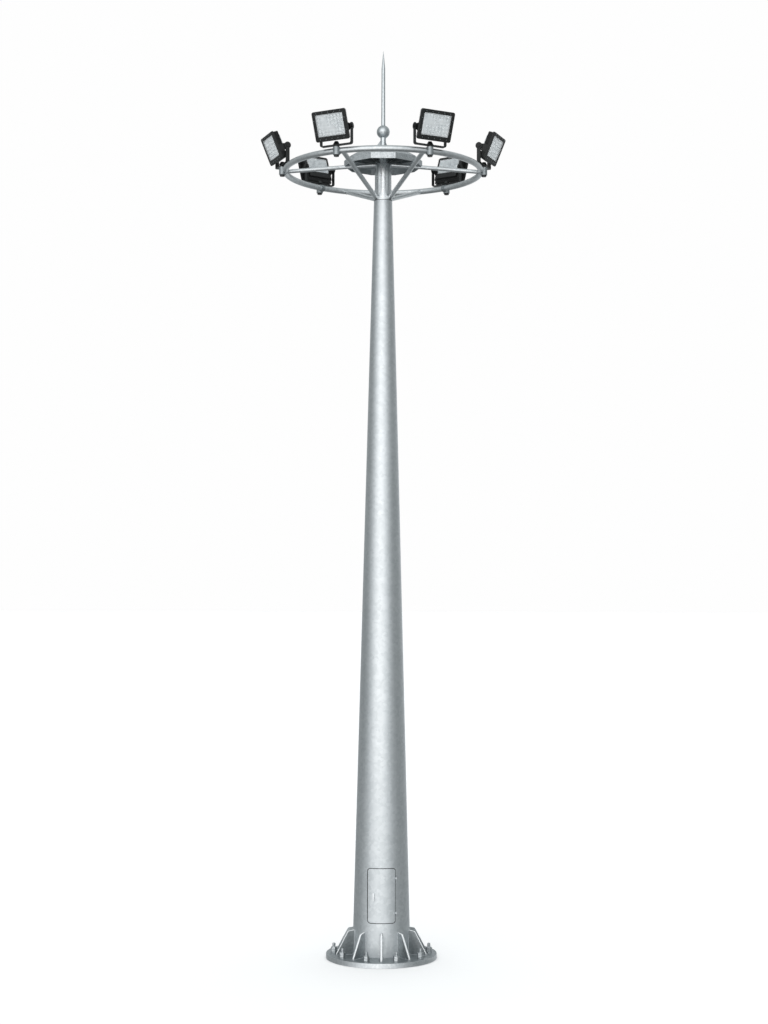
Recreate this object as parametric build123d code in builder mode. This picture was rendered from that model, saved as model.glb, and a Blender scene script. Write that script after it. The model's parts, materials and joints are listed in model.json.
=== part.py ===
"""High mast floodlight tower: a tapered steel mast on a stiffened base plate, a braced ring with six
tilting LED floodlights, a ten-sided head hood and a lightning rod.

Millimetres, +Z up. The origin is the centre of the underside of the base plate, and the access door
faces -Y. Azimuths are counted from the door side, -Y, towards +X.
"""

from build123d import *
from math import asin, cos, degrees, radians, sin, sqrt, tan
import os

os.makedirs("parts", exist_ok=True)

# ---------------------------------------------------------------- driving dimensions
seat_gap = 0.3  # what is left between curved pieces that are welded or bolted together
swing_gap = 6.0  # all round the door

# base
plate_radius = 845.0
plate_thickness = 75.0
plate_edge_chamfer = 5.0
anchor_count = 10
anchor_start = -72.0  # azimuth of the first bolt
anchor_reach = 725.0  # from the mast's axis to the bolts
anchor_radius = 24.0
anchor_hole_radius = 27.0
anchor_height = 150.0
nut_width = 84.0
nut_height = 38.0
nuts_per_bolt = 2
washer_radius = 52.0
washer_thickness = 9.0
gusset_count = 10
gusset_height = 380.0
gusset_thickness = 28.0
gusset_top_reach = 103.0
gusset_top_drop = 28.0
gusset_corner_radius = 30.0
gusset_foot_radius = 715.0
gusset_lip = 25.0
gusset_cope = 24.0

# mast
shaft_foot_radius = 442.0
shaft_top_radius = 139.5
shaft_wall = 8.0
shaft_top = 11540.0
foot_length = 1525.0
cap_thickness = 9.0
head_tube_radius = 126.0
head_tube_wall = 8.0
head_tube_depth = 300.0  # how far it reaches down inside the mast

# door
door_width = 412.0
door_height = 814.0
door_centre_height = 1003.0
door_corner_radius = 40.0
frame_depth = 12.0
frame_lap = 22.0
frame_rim = 38.0
hinge_offset = 6.0
hinge_stand_off = 10.0
hinge_spacing = 520.0
knuckle_radius = 9.0
knuckle_length = 30.0
knuckle_gap = 0.5
hinge_pin_radius = 4.0
leaf_length = 34.0
leaf_near = 3.0
leaf_far = 8.0
leaf_pad = 18.0
pin_clearance = 0.3
lever_offset = -118.0
lever_pivot_height = 1030.0
lever_width = 27.0
lever_length = 122.0
lever_thickness = 10.0
lever_stand_off = 9.0
lever_boss_radius = 17.0
lever_spindle_radius = 8.0
lever_spindle_depth = 18.0
lever_collar_radius = 15.0
lever_collar_height = 7.0

# hood on the mast head
hood_sides = 10
hood_rim_apothem = 568.0
hood_rise = 78.0  # its rim over the ring's centre line
hood_skirt = 90.0
hood_height = 150.0
hood_top_apothem = 470.0
hood_wall = 5.0
rib_thickness = 8.0
rib_tip_depth = 30.0
rib_root_depth = 118.0

# lamp ring and what carries it
ring_radius = 1490.0
ring_rise = 460.0  # its centre line over the mast's top
ring_tube_radius = 44.5
strut_azimuths = ((-23.3, -70.0), (23.3, 70.0), (156.7, 110.0), (-156.7, -110.0))  # at the ring, at the tube
strut_radius = 34.0
strut_foot_rise = 44.0
strut_foot_radius = 100.0
strut_head_drop = 8.0
spoke_azimuths = (-90.0, 90.0)
spoke_radius = 30.0
spoke_slope = 0.079

# lamp clamps
clamp_stand_off = 48.0  # from the ring's centre line out to the clamp's stud
clamp_boss_radius = 50.0
clamp_boss_height = 117.0
strap_wall = 9.0
strap_length = 64.0
stud_radius = 15.0
stud_clearance = 0.5
foot_nut_radius = 37.0
foot_nut_height = 23.0
stud_washer_radius = 42.0
stud_washer_height = 14.7
top_nut_base_radius = 52.0
top_nut_tip_radius = 27.0
top_nut_height = 46.0

# yokes
yoke_reach = 256.0
yoke_bar_width = 60.0
yoke_bar_thickness = 18.0
yoke_inner_half = 250.0
yoke_arm_thickness = 14.0
yoke_corner_radius = 34.0
yoke_head_radius = 51.0
pivot_radius = 9.0
pivot_head_radius = 27.0
pivot_head_height = 13.0
pivot_nut_radius = 20.0
pivot_nut_height = 12.0

# lamps: (clamp azimuth, face azimuth, tilt below the horizon)
lamp_settings = (
    (-26.2, -29.0, 20.0),
    (26.2, 29.0, 20.0),
    (86.0, 69.0, 23.0),
    (139.0, 145.0, 20.0),
    (-139.0, -145.0, 20.0),
    (-86.0, -69.0, 23.0),
)
lamp_width = 560.0
lamp_height = 432.0
lamp_corner_radius = 30.0
bezel_depth = 30.0
bezel_edge = 6.0
face_reach = 175.0
face_rise = 52.0
body_width = 470.0
body_height = 420.0
body_depth = 86.0
body_taper = 4.0
housing_wall = 4.0
window_width = 454.0
window_height = 312.0
window_rise = 10.0
window_corner = 12.0
window_lip = 5.0
lens_overlap = 6.0
lens_thickness = 6.0
ear_reach = 243.0
ear_thickness = 16.0
ear_radius = 36.0
ear_root_length = 72.0
ear_root_height = 112.0
pivot_washer_radius = 24.0
sink_width = 352.0
sink_height = 240.0
sink_top_margin = 58.0
sink_base = 6.0
fin_count = 15
fin_thickness = 4.0
fin_height = 24.0
driver_width = 380.0
driver_height = 84.0
driver_depth = 34.0
driver_margin = 14.0

# lightning rod
stem_radius = 42.0
stem_gusset_azimuths = (-90.0, 30.0, 150.0)
stem_gusset_height = 250.0
stem_gusset_reach = 181.0
stem_gusset_thickness = 10.0
ball_radius = 100.0
stem_length = 382.0  # from the hood to the middle of the ball
rod_length = 970.0  # from the middle of the ball to where the rod narrows
point_length = 260.0
rod_foot_radius = 31.0
rod_neck_radius = 27.5
rod_tip_radius = 2.0


# ---------------------------------------------------------------- places and planes
def spot(radius, azimuth, height=0.0):
    """A place at a radius from the mast's axis."""
    angle = radians(azimuth)
    return Vector(radius * sin(angle), -radius * cos(angle), height)


def radial_plane(azimuth):
    """An upright plane through the mast's axis: local x runs outwards, local y up."""
    outward = spot(1.0, azimuth)
    return Plane(origin=(0, 0, 0), x_dir=outward, z_dir=outward.cross(Vector(0, 0, 1)))


def yoke_plane(setting):
    """The yoke's own frame at its pivots: local -y is the way the lamp faces, local z is up."""
    clamp_azimuth, face_azimuth, _ = setting
    origin = spot(clamp_radius, clamp_azimuth, pivot_height)
    across = spot(1.0, face_azimuth + 90.0)
    return Plane(origin=origin, x_dir=across, z_dir=(0, 0, 1))


def lamp_plane(setting):
    """The lamp's own frame at its pivots, tilted down from the yoke's."""
    _, face_azimuth, tilt = setting
    upright = yoke_plane(setting)
    forward = spot(sin(radians(tilt)), face_azimuth, cos(radians(tilt)))
    return Plane(origin=upright.origin, x_dir=upright.x_dir, z_dir=forward)


def shaft_radius(height):
    """The mast's outer radius, a straight taper from the plate to the cap."""
    share = (height - plate_thickness) / (shaft_top - plate_thickness)
    return shaft_foot_radius + share * (shaft_top_radius - shaft_foot_radius)


def shaft_ring(bottom, top, outer_offset, inner_offset):
    """A shell that follows the taper between two offsets from the mast's outer face."""
    with BuildPart() as ring:
        with BuildSketch(Plane.XZ):
            with BuildLine():
                Polyline(
                    (shaft_radius(bottom) + outer_offset, bottom),
                    (shaft_radius(top) + outer_offset, top),
                    (shaft_radius(top) + inner_offset, top),
                    (shaft_radius(bottom) + inner_offset, bottom),
                    close=True,
                )
            make_face()
        revolve(axis=Axis.Z)
    return ring.part


def door_prism(width, height, corner):
    """What a door-shaped cutter removes on the -Y side of the mast."""
    with BuildPart() as prism:
        with BuildSketch(Plane.XZ):
            with Locations((0, door_centre_height)):
                RectangleRounded(width, height, corner)
        extrude(amount=plate_radius)
    return prism.part


def save(part, name):
    """Label a finished piece and write it."""
    part.label = name
    export_step(part, f"parts/{name}.step")


# ---------------------------------------------------------------- heights that follow from the rest
foot_top = plate_thickness + foot_length
head_tube_bottom = shaft_top - head_tube_depth
ring_height = shaft_top + ring_rise
clamp_radius = ring_radius + clamp_stand_off
boss_top = ring_height + ring_tube_radius
boss_bottom = boss_top - clamp_boss_height
bar_bottom = boss_top + stud_washer_height + seat_gap
bar_top = bar_bottom + yoke_bar_thickness
pivot_height = bar_bottom + yoke_bar_thickness / 2 + yoke_reach


def spoke_height(radius):
    """The height of a spoke's centre line, which rises towards the mast."""
    return ring_height + spoke_slope * (ring_radius - radius)


hood_bottom = ring_height + hood_rise
hood_top = hood_bottom + hood_height
hood_ceiling = hood_top - hood_wall
ball_height = hood_top + stem_length
ball_foot = ball_height - sqrt(ball_radius**2 - stem_radius**2)
rod_neck_height = ball_height + rod_length
rod_tip_height = rod_neck_height + point_length


# ---------------------------------------------------------------- base
with BuildPart() as base_plate:
    with BuildSketch():
        Circle(plate_radius)
        with PolarLocations(anchor_reach, anchor_count, start_angle=anchor_start):
            Circle(anchor_hole_radius, mode=Mode.SUBTRACT)
    extrude(amount=plate_thickness)
    outer_rim = base_plate.edges().filter_by(GeomType.CIRCLE).sort_by(SortBy.RADIUS)[-2:]
    chamfer(outer_rim.sort_by(Axis.Z)[-1:], length=plate_edge_chamfer)
save(base_plate.part, "base_plate")

gusset_root = shaft_radius(plate_thickness + gusset_height) - 2 * gusset_cope

gusset_shoulder = (
    shaft_radius(plate_thickness + gusset_height) + gusset_top_reach,
    plate_thickness + gusset_height - gusset_top_drop,
)

with BuildPart() as gusset:
    with BuildSketch(radial_plane(0.0)) as gusset_outline:
        with BuildLine():
            Polyline(
                (shaft_foot_radius + gusset_cope, plate_thickness),
                (gusset_foot_radius, plate_thickness),
                (gusset_foot_radius, plate_thickness + gusset_lip),
                gusset_shoulder,
                (gusset_root, plate_thickness + gusset_height),
                (gusset_root, plate_thickness + gusset_cope + shaft_foot_radius - gusset_root),
                close=True,
            )
        make_face()
        shoulder = gusset_outline.vertices().sort_by_distance((*gusset_shoulder, 0))[0]
        fillet(shoulder, radius=gusset_corner_radius)
    extrude(amount=gusset_thickness / 2, both=True)
    add(shaft_ring(plate_thickness, foot_top, seat_gap, gusset_root - shaft_foot_radius), mode=Mode.SUBTRACT)

with BuildPart() as base_gussets:
    for index in range(gusset_count):
        with Locations(Location((0, 0, 0), (0, 0, index * 360.0 / gusset_count))):
            add(gusset.part)
save(base_gussets.part, "base_gussets")

with BuildPart() as anchor_bolts:
    with PolarLocations(anchor_reach, anchor_count, start_angle=anchor_start):
        Cylinder(
            anchor_radius,
            plate_thickness + anchor_height,
            align=(Align.CENTER, Align.CENTER, Align.MIN),
        )
    with BuildSketch(Plane.XY.offset(plate_thickness)):
        with PolarLocations(anchor_reach, anchor_count, start_angle=anchor_start):
            Circle(washer_radius)
    extrude(amount=washer_thickness)
    with BuildSketch(Plane.XY.offset(plate_thickness + washer_thickness)):
        with PolarLocations(anchor_reach, anchor_count, start_angle=anchor_start):
            RegularPolygon(nut_width / 2, 6, major_radius=False)
    extrude(amount=nuts_per_bolt * nut_height)
save(anchor_bolts.part, "anchor_bolts")

# ---------------------------------------------------------------- mast
door_opening = door_prism(
    door_width + 2 * swing_gap,
    door_height + 2 * swing_gap,
    door_corner_radius + swing_gap,
)

with BuildPart() as shaft_foot:
    add(shaft_ring(plate_thickness, foot_top, 0.0, -shaft_wall))
    add(door_opening, mode=Mode.SUBTRACT)
save(shaft_foot.part, "shaft_foot")

with BuildPart() as shaft_upper:
    add(shaft_ring(foot_top, shaft_top, 0.0, -shaft_wall))
save(shaft_upper.part, "shaft_upper")

with BuildPart() as shaft_cap:
    with BuildSketch(Plane.XY.offset(shaft_top)):
        Circle(shaft_top_radius)
        Circle(head_tube_radius + seat_gap, mode=Mode.SUBTRACT)
    extrude(amount=cap_thickness)
save(shaft_cap.part, "shaft_cap")

with BuildPart() as head_tube:
    with BuildSketch(Plane.XY.offset(head_tube_bottom)):
        Circle(head_tube_radius)
        Circle(head_tube_radius - head_tube_wall, mode=Mode.SUBTRACT)
    extrude(amount=hood_ceiling - head_tube_bottom)
save(head_tube.part, "head_tube")

# ---------------------------------------------------------------- door
door_bottom = door_centre_height - door_height / 2
door_top = door_centre_height + door_height / 2
frame_face = -shaft_wall - seat_gap

with BuildPart() as door_frame:
    add(shaft_ring(plate_thickness, foot_top, frame_face, frame_face - frame_depth))
    add(
        door_prism(door_width + 2 * frame_rim, door_height + 2 * frame_rim, door_corner_radius + frame_rim),
        mode=Mode.INTERSECT,
    )
    add(
        door_prism(door_width - 2 * frame_lap, door_height - 2 * frame_lap, door_corner_radius - frame_lap),
        mode=Mode.SUBTRACT,
    )
save(door_frame.part, "door_frame")


def wall_depth(offset, height):
    """How far the mast's outer face lies in front of its axis, at an offset to the side."""
    return sqrt(shaft_radius(height) ** 2 - offset**2)


# The lever turns about the outward normal of the tapered wall.
lever_reach = wall_depth(lever_offset, lever_pivot_height)
taper_slope = (shaft_foot_radius - shaft_top_radius) / (shaft_top - plate_thickness)
lever_plane = Plane(
    origin=(lever_offset, -lever_reach, lever_pivot_height),
    x_dir=(lever_reach, lever_offset, 0),
    z_dir=(lever_offset, -lever_reach, taper_slope * shaft_radius(lever_pivot_height)),
)

# The hinge line stands off the mast just past the door's +X edge and leans with the taper.
hinge_x = door_width / 2 + swing_gap + hinge_offset
hinge_lean = (wall_depth(hinge_x, door_bottom) - wall_depth(hinge_x, door_top)) / door_height
hinge_reach = 1 + hinge_stand_off / shaft_radius(door_centre_height)
hinge_point = Vector(
    hinge_x * hinge_reach,
    -wall_depth(hinge_x, door_centre_height) * hinge_reach,
    door_centre_height,
)
hinge_azimuth = degrees(asin(hinge_x / shaft_radius(door_centre_height)))
hinge_plane = Plane(origin=hinge_point, x_dir=spot(1.0, hinge_azimuth + 90.0), z_dir=(0, hinge_lean, 1))
hinge_starts = (-hinge_spacing / 2, hinge_spacing / 2)
knuckle_pitch = knuckle_length + knuckle_gap
hinge_pin_length = 3 * knuckle_pitch
hinge_foot = hinge_stand_off + shaft_wall / 2

with BuildPart() as door_hinges:
    for start in hinge_starts:
        for step in (-1, 1):
            level = start + step * knuckle_pitch - knuckle_length / 2
            with BuildSketch(hinge_plane.offset(level)):
                Circle(knuckle_radius)
                with Locations((knuckle_radius / 2, hinge_foot / 2)):
                    Rectangle(knuckle_radius, hinge_foot)
            extrude(amount=knuckle_length)
    add(shaft_ring(plate_thickness, foot_top, seat_gap, -shaft_wall), mode=Mode.SUBTRACT)
    for start in hinge_starts:
        with BuildSketch(hinge_plane.offset(start - hinge_pin_length / 2)):
            Circle(hinge_pin_radius)
        extrude(amount=hinge_pin_length)
save(door_hinges.part, "door_hinges")

with BuildPart() as door_panel:
    add(shaft_ring(plate_thickness, foot_top, 0.0, -shaft_wall))
    add(door_prism(door_width, door_height, door_corner_radius), mode=Mode.INTERSECT)
    for start in hinge_starts:
        with BuildSketch(hinge_plane.offset(start - knuckle_length / 2)):
            Circle(knuckle_radius)
            with Locations((-leaf_length / 2, (leaf_near + leaf_far) / 2)):
                Rectangle(leaf_length, leaf_far - leaf_near)
            with Locations((leaf_pad / 2 - leaf_length, (leaf_near + hinge_foot) / 2)):
                Rectangle(leaf_pad, hinge_foot - leaf_near)
            Circle(hinge_pin_radius + pin_clearance, mode=Mode.SUBTRACT)
        extrude(amount=knuckle_length)
    with BuildSketch(lever_plane):
        Circle(lever_spindle_radius + pin_clearance)
    extrude(amount=2 * shaft_wall, both=True, mode=Mode.SUBTRACT)
save(door_panel.part, "door_panel")

with BuildPart() as door_lever:
    with BuildSketch(lever_plane.offset(seat_gap)):
        Circle(lever_boss_radius)
    extrude(amount=lever_stand_off + lever_thickness - seat_gap)
    with BuildSketch(lever_plane.offset(lever_stand_off)):
        with Locations((0, lever_boss_radius - lever_length / 2)):
            SlotOverall(lever_length, lever_width, rotation=90)
    extrude(amount=lever_thickness)
    with BuildSketch(lever_plane.offset(-lever_spindle_depth)):
        Circle(lever_spindle_radius)
    extrude(amount=lever_spindle_depth + seat_gap)
    with BuildSketch(lever_plane.offset(-lever_spindle_depth)):
        Circle(lever_collar_radius)
    extrude(amount=lever_collar_height)
save(door_lever.part, "door_lever")

# ---------------------------------------------------------------- hood
def hood_section(apothem, height):
    """One many-sided section of the hood, with a flat towards the door side."""
    with BuildSketch(Plane.XY.offset(height)) as section:
        RegularPolygon(apothem, hood_sides, major_radius=False, rotation=180.0 / hood_sides - 90.0)
    return section.sketch


def hood_solid(inset, top):
    """The hood's body: an upright skirt under a frustum, drawn in by an inset."""
    with BuildPart() as body:
        add(hood_section(hood_rim_apothem - inset, hood_bottom))
        extrude(amount=hood_skirt)
        add(hood_section(hood_rim_apothem - inset, hood_bottom + hood_skirt))
        add(hood_section(hood_top_apothem - inset, top))
        loft()
    return body.part


def tube_between(start, end, radius):
    """A round bar from one point to another."""
    run = end - start
    with BuildPart() as tube:
        with BuildSketch(Plane(origin=start, z_dir=run)):
            Circle(radius)
        extrude(amount=run.length)
    return tube.part


def spoke(azimuth, grown):
    """A spoke from inside the head tube to the ring's centre line, or the cutter that clears it."""
    inner = spot(head_tube_radius / 2, azimuth, spoke_height(head_tube_radius / 2))
    return tube_between(inner, spot(ring_radius, azimuth, spoke_height(ring_radius)), spoke_radius + grown)


with BuildPart() as hood_pan:
    add(hood_solid(0.0, hood_top))
    add(hood_solid(hood_wall, hood_ceiling), mode=Mode.SUBTRACT)
    for azimuth in spoke_azimuths:
        add(spoke(azimuth, seat_gap), mode=Mode.SUBTRACT)
save(hood_pan.part, "hood_pan")

rib_reach = hood_top_apothem - hood_wall - seat_gap

with BuildPart() as hood_ribs:
    for index in range(hood_sides):
        with BuildSketch(radial_plane(index * 360.0 / hood_sides)):
            with BuildLine():
                Polyline(
                    (head_tube_radius + seat_gap, hood_ceiling),
                    (rib_reach, hood_ceiling),
                    (rib_reach, hood_ceiling - rib_tip_depth),
                    (head_tube_radius + seat_gap, hood_ceiling - rib_root_depth),
                    close=True,
                )
            make_face()
        extrude(amount=rib_thickness / 2, both=True)
    with BuildSketch(Plane.XY.offset(head_tube_bottom)):
        Circle(head_tube_radius + seat_gap)
    extrude(amount=hood_top - head_tube_bottom, mode=Mode.SUBTRACT)
save(hood_ribs.part, "hood_ribs")

# ---------------------------------------------------------------- ring, struts and spokes
def ring_solid(grown):
    """The ring's tube, or the cutter that copes what meets it."""
    with BuildPart() as ring:
        with BuildSketch(Plane.XZ):
            with Locations((ring_radius, ring_height)):
                Circle(ring_tube_radius + grown)
        revolve(axis=Axis.Z)
    return ring.part


with BuildPart() as lamp_ring:
    add(ring_solid(0.0))
save(lamp_ring.part, "lamp_ring")

with BuildPart() as mast_core:
    with BuildSketch(Plane.XY.offset(head_tube_bottom)):
        Circle(head_tube_radius + seat_gap)
    extrude(amount=hood_top - head_tube_bottom)

with BuildPart() as ring_struts:
    for head_azimuth, foot_azimuth in strut_azimuths:
        foot = spot(strut_foot_radius, foot_azimuth, shaft_top + strut_foot_rise)
        head = spot(ring_radius, head_azimuth, ring_height - strut_head_drop)
        add(tube_between(foot, head, strut_radius))
    add(mast_core.part, mode=Mode.SUBTRACT)
    add(ring_solid(seat_gap), mode=Mode.SUBTRACT)
save(ring_struts.part, "ring_struts")

with BuildPart() as ring_spokes:
    for azimuth in spoke_azimuths:
        add(spoke(azimuth, 0.0))
    add(mast_core.part, mode=Mode.SUBTRACT)
    add(ring_solid(seat_gap), mode=Mode.SUBTRACT)
save(ring_spokes.part, "ring_spokes")

# ---------------------------------------------------------------- lamp clamps
with BuildPart() as clamp:
    with BuildSketch(Plane(origin=spot(clamp_radius, 0.0, boss_bottom))):
        Circle(clamp_boss_radius)
    extrude(amount=clamp_boss_height)
    with BuildSketch(Plane(origin=spot(ring_radius, 0.0, ring_height), x_dir=(0, 1, 0), z_dir=(1, 0, 0))):
        Circle(ring_tube_radius + seat_gap + strap_wall)
    extrude(amount=strap_length / 2, both=True)
    add(ring_solid(seat_gap), mode=Mode.SUBTRACT)
    with BuildSketch(Plane(origin=spot(clamp_radius, 0.0, boss_top))):
        Circle(stud_washer_radius)
    extrude(amount=stud_washer_height)
    with BuildSketch(Plane(origin=spot(clamp_radius, 0.0, boss_bottom - foot_nut_height))):
        Circle(foot_nut_radius)
    extrude(amount=foot_nut_height)
    with BuildSketch(Plane(origin=spot(clamp_radius, 0.0, boss_top))):
        Circle(stud_radius)
    extrude(amount=bar_top + seat_gap + top_nut_height - boss_top)

with BuildPart() as top_nut:
    with BuildSketch(Plane(origin=spot(clamp_radius, 0.0, bar_top + seat_gap))):
        Circle(top_nut_base_radius)
    with BuildSketch(Plane(origin=spot(clamp_radius, 0.0, bar_top + seat_gap + top_nut_height))):
        Circle(top_nut_tip_radius)
    loft()
    with BuildSketch(Plane(origin=spot(clamp_radius, 0.0, bar_top + seat_gap))):
        Circle(stud_radius + seat_gap)
    extrude(amount=top_nut_height, mode=Mode.SUBTRACT)

with BuildPart() as lamp_clamps:
    for clamp_azimuth, _, _ in lamp_settings:
        with Locations(Location((0, 0, 0), (0, 0, clamp_azimuth))):
            add(clamp.part)
            add(top_nut.part)
save(lamp_clamps.part, "lamp_clamps")

# ---------------------------------------------------------------- yoke, in its own frame at the pivots
yoke_half = yoke_inner_half + yoke_arm_thickness
bar_level = -yoke_reach - yoke_bar_thickness / 2

with BuildPart() as yoke:
    with BuildSketch(Plane.XZ) as yoke_outline:
        with Locations((0, bar_level / 2)):
            Rectangle(2 * yoke_half, -bar_level)
        corners = yoke_outline.vertices().group_by(Axis.Y)[0]
        fillet(corners, radius=yoke_corner_radius)
        with BuildSketch(Plane.XZ, mode=Mode.PRIVATE) as yoke_gap:
            with Locations((0, (bar_level + yoke_bar_thickness) / 2)):
                Rectangle(2 * yoke_inner_half, -bar_level - yoke_bar_thickness)
            fillet(
                yoke_gap.vertices().group_by(Axis.Y)[0],
                radius=yoke_corner_radius - yoke_arm_thickness,
            )
        add(yoke_gap.sketch, mode=Mode.SUBTRACT)
    extrude(amount=yoke_bar_width / 2, both=True)
    for side in (-1, 1):
        inner = side * yoke_inner_half if side > 0 else -yoke_half
        with BuildSketch(Plane.YZ.offset(inner)):
            Circle(yoke_head_radius)
        extrude(amount=yoke_arm_thickness)
    with BuildSketch(Plane.YZ.offset(-yoke_half)):
        Circle(pivot_radius + stud_clearance)
    extrude(amount=2 * yoke_half, mode=Mode.SUBTRACT)
    with BuildSketch(Plane.XY.offset(bar_level)):
        Circle(stud_radius + stud_clearance)
    extrude(amount=yoke_bar_thickness, mode=Mode.SUBTRACT)

for number, setting in enumerate(lamp_settings, 1):
    with BuildPart() as placed_yoke:
        with Locations(yoke_plane(setting)):
            add(yoke.part)
    save(placed_yoke.part, f"lamp_yoke_{number}")

# ---------------------------------------------------------------- lamp, in its own frame at the pivots
def lamp_section(depth, rise=0.0):
    """A plane across the lamp at a depth behind its face, centred at a rise over the face's middle."""
    return Plane(origin=(0, depth - face_reach, face_rise + rise), x_dir=(-1, 0, 0), z_dir=(0, 1, 0))


back_depth = bezel_depth + body_depth
back_height = body_height - 2 * body_depth * tan(radians(body_taper))
lens_depth = window_lip + seat_gap
cavity_depth = window_lip + lens_thickness + 2 * seat_gap
sink_rise = back_height / 2 - sink_top_margin - sink_height / 2
driver_rise = sink_rise - sink_height / 2 - driver_margin - driver_height / 2

with BuildPart() as housing:
    with BuildSketch(lamp_section(0.0)):
        RectangleRounded(lamp_width, lamp_height, lamp_corner_radius)
    extrude(amount=bezel_depth)
    chamfer(housing.faces().sort_by(Axis.Y)[0].edges(), length=bezel_edge)
    with BuildSketch(lamp_section(bezel_depth)):
        RectangleRounded(body_width, body_height, lamp_corner_radius)
    extrude(amount=body_depth, taper=body_taper)
    with BuildSketch(lamp_section(back_depth, driver_rise)):
        RectangleRounded(driver_width, driver_height, window_corner)
    extrude(amount=driver_depth)
    for side in (-1, 1):
        inner = side * (ear_reach - ear_thickness) if side > 0 else -ear_reach
        with BuildSketch(Plane.YZ.offset(inner)):
            Circle(ear_radius)
            with Locations((bezel_depth - face_reach + ear_root_length / 2, 0)):
                Rectangle(ear_root_length, ear_root_height)
            make_hull()
        extrude(amount=ear_thickness)
        washer = ear_reach if side > 0 else -yoke_inner_half + seat_gap
        with BuildSketch(Plane.YZ.offset(washer)):
            Circle(pivot_washer_radius)
        extrude(amount=yoke_inner_half - seat_gap - ear_reach)
    with BuildSketch(lamp_section(cavity_depth)):
        RectangleRounded(
            body_width - 4 * housing_wall,
            body_height - 4 * housing_wall,
            lamp_corner_radius - housing_wall,
        )
    extrude(amount=back_depth - cavity_depth - housing_wall, taper=body_taper, mode=Mode.SUBTRACT)
    with BuildSketch(lamp_section(window_lip, window_rise)):
        RectangleRounded(
            window_width + 2 * (lens_overlap + seat_gap),
            window_height + 2 * (lens_overlap + seat_gap),
            window_corner + lens_overlap,
        )
    extrude(amount=cavity_depth - window_lip, mode=Mode.SUBTRACT)
    with BuildSketch(lamp_section(0.0, window_rise)):
        RectangleRounded(window_width, window_height, window_corner)
    extrude(amount=window_lip, mode=Mode.SUBTRACT)
    with BuildSketch(Plane.YZ.offset(-yoke_half)):
        Circle(pivot_radius + seat_gap)
    extrude(amount=2 * yoke_half, mode=Mode.SUBTRACT)

with BuildPart() as pivot_bolt:
    with BuildSketch(Plane.YZ.offset(ear_reach - ear_thickness - seat_gap - pivot_nut_height)):
        Circle(pivot_nut_radius)
    extrude(amount=pivot_nut_height)
    with BuildSketch(Plane.YZ.offset(ear_reach - ear_thickness - seat_gap)):
        Circle(pivot_radius)
    extrude(amount=yoke_half + seat_gap - ear_reach + ear_thickness + seat_gap)
    with BuildSketch(Plane.YZ.offset(yoke_half + seat_gap)):
        Circle(pivot_head_radius)
    extrude(amount=pivot_head_height)

with BuildPart() as lens:
    with BuildSketch(lamp_section(lens_depth, window_rise)):
        RectangleRounded(
            window_width + 2 * lens_overlap,
            window_height + 2 * lens_overlap,
            window_corner + lens_overlap,
        )
    extrude(amount=lens_thickness)

with BuildPart() as heatsink:
    with BuildSketch(lamp_section(back_depth, sink_rise)):
        Rectangle(sink_width, sink_height)
    extrude(amount=sink_base)
    with BuildSketch(lamp_section(back_depth + sink_base, sink_rise)):
        with GridLocations((sink_width - fin_thickness) / (fin_count - 1), 0, fin_count, 1):
            Rectangle(fin_thickness, sink_height)
    extrude(amount=fin_height)

for number, setting in enumerate(lamp_settings, 1):
    with BuildPart() as placed_housing:
        with Locations(lamp_plane(setting)):
            add(housing.part)
            add(pivot_bolt.part)
            add(mirror(pivot_bolt.part, about=Plane.YZ, mode=Mode.PRIVATE))
    save(placed_housing.part, f"lamp_housing_{number}")
    with BuildPart() as placed_lens:
        with Locations(lamp_plane(setting)):
            add(lens.part)
    save(placed_lens.part, f"lamp_lens_{number}")
    with BuildPart() as placed_sink:
        with Locations(lamp_plane(setting)):
            add(heatsink.part)
    save(placed_sink.part, f"lamp_heatsink_{number}")

# ---------------------------------------------------------------- lightning rod
with BuildPart() as rod_stem:
    with BuildSketch(Plane.XY.offset(hood_top)):
        Circle(stem_radius)
    extrude(amount=ball_foot - hood_top)
    for azimuth in stem_gusset_azimuths:
        with BuildSketch(radial_plane(azimuth)):
            with BuildLine():
                Polyline(
                    (stem_radius / 2, hood_top),
                    (stem_radius + stem_gusset_reach, hood_top),
                    (stem_radius, hood_top + stem_gusset_height),
                    (stem_radius / 2, hood_top + stem_gusset_height),
                    close=True,
                )
            make_face()
        extrude(amount=stem_gusset_thickness / 2, both=True)
save(rod_stem.part, "rod_stem")

with BuildPart() as lightning_rod:
    with BuildSketch(Plane.XZ):
        with BuildLine():
            ball_crown = ball_height + sqrt(ball_radius**2 - rod_foot_radius**2)
            Line((0, ball_foot), (stem_radius, ball_foot))
            ThreePointArc(
                (stem_radius, ball_foot),
                (ball_radius, ball_height),
                (rod_foot_radius, ball_crown),
            )
            Polyline(
                (rod_foot_radius, ball_crown),
                (rod_neck_radius, rod_neck_height),
                (rod_tip_radius, rod_tip_height),
                (0, rod_tip_height),
                (0, ball_foot),
            )
        make_face()
    revolve(axis=Axis.Z)
save(lightning_rod.part, "lightning_rod")
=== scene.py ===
import json
from math import cos, pi, radians, sin, sqrt

import bmesh
import bpy
from mathutils import Matrix, Vector


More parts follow.
